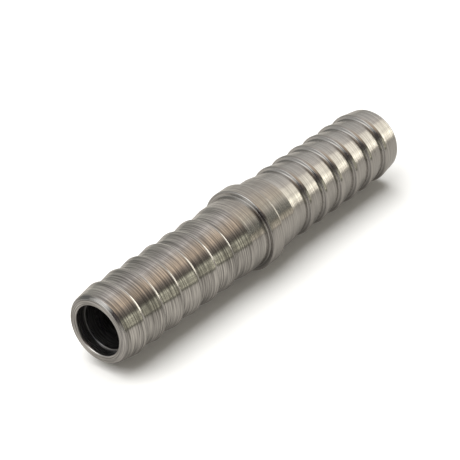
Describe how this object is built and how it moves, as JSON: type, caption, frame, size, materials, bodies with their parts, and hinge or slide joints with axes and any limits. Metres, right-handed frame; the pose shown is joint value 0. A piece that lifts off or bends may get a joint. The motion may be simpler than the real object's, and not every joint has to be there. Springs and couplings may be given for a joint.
{
  "type": "double-ended hose barb tail",
  "caption": "Straight double-ended hose barb tail: a turned stainless tube with sawtooth barbs on both ends and a narrow stop collar in the middle, to join two hoses.",
  "frame": {"origin": "centre of the lower end face", "axes": "+Z along the tube's axis; the two tails are alike, so either end may be up"},
  "size_m": [0.012, 0.012, 0.06],
  "materials": {
    "turned_stainless": "fine turned, unpolished"
  },
  "bodies": {
    "root": {"barb_tail": "turned_stainless"}
  },
  "joints": []
}
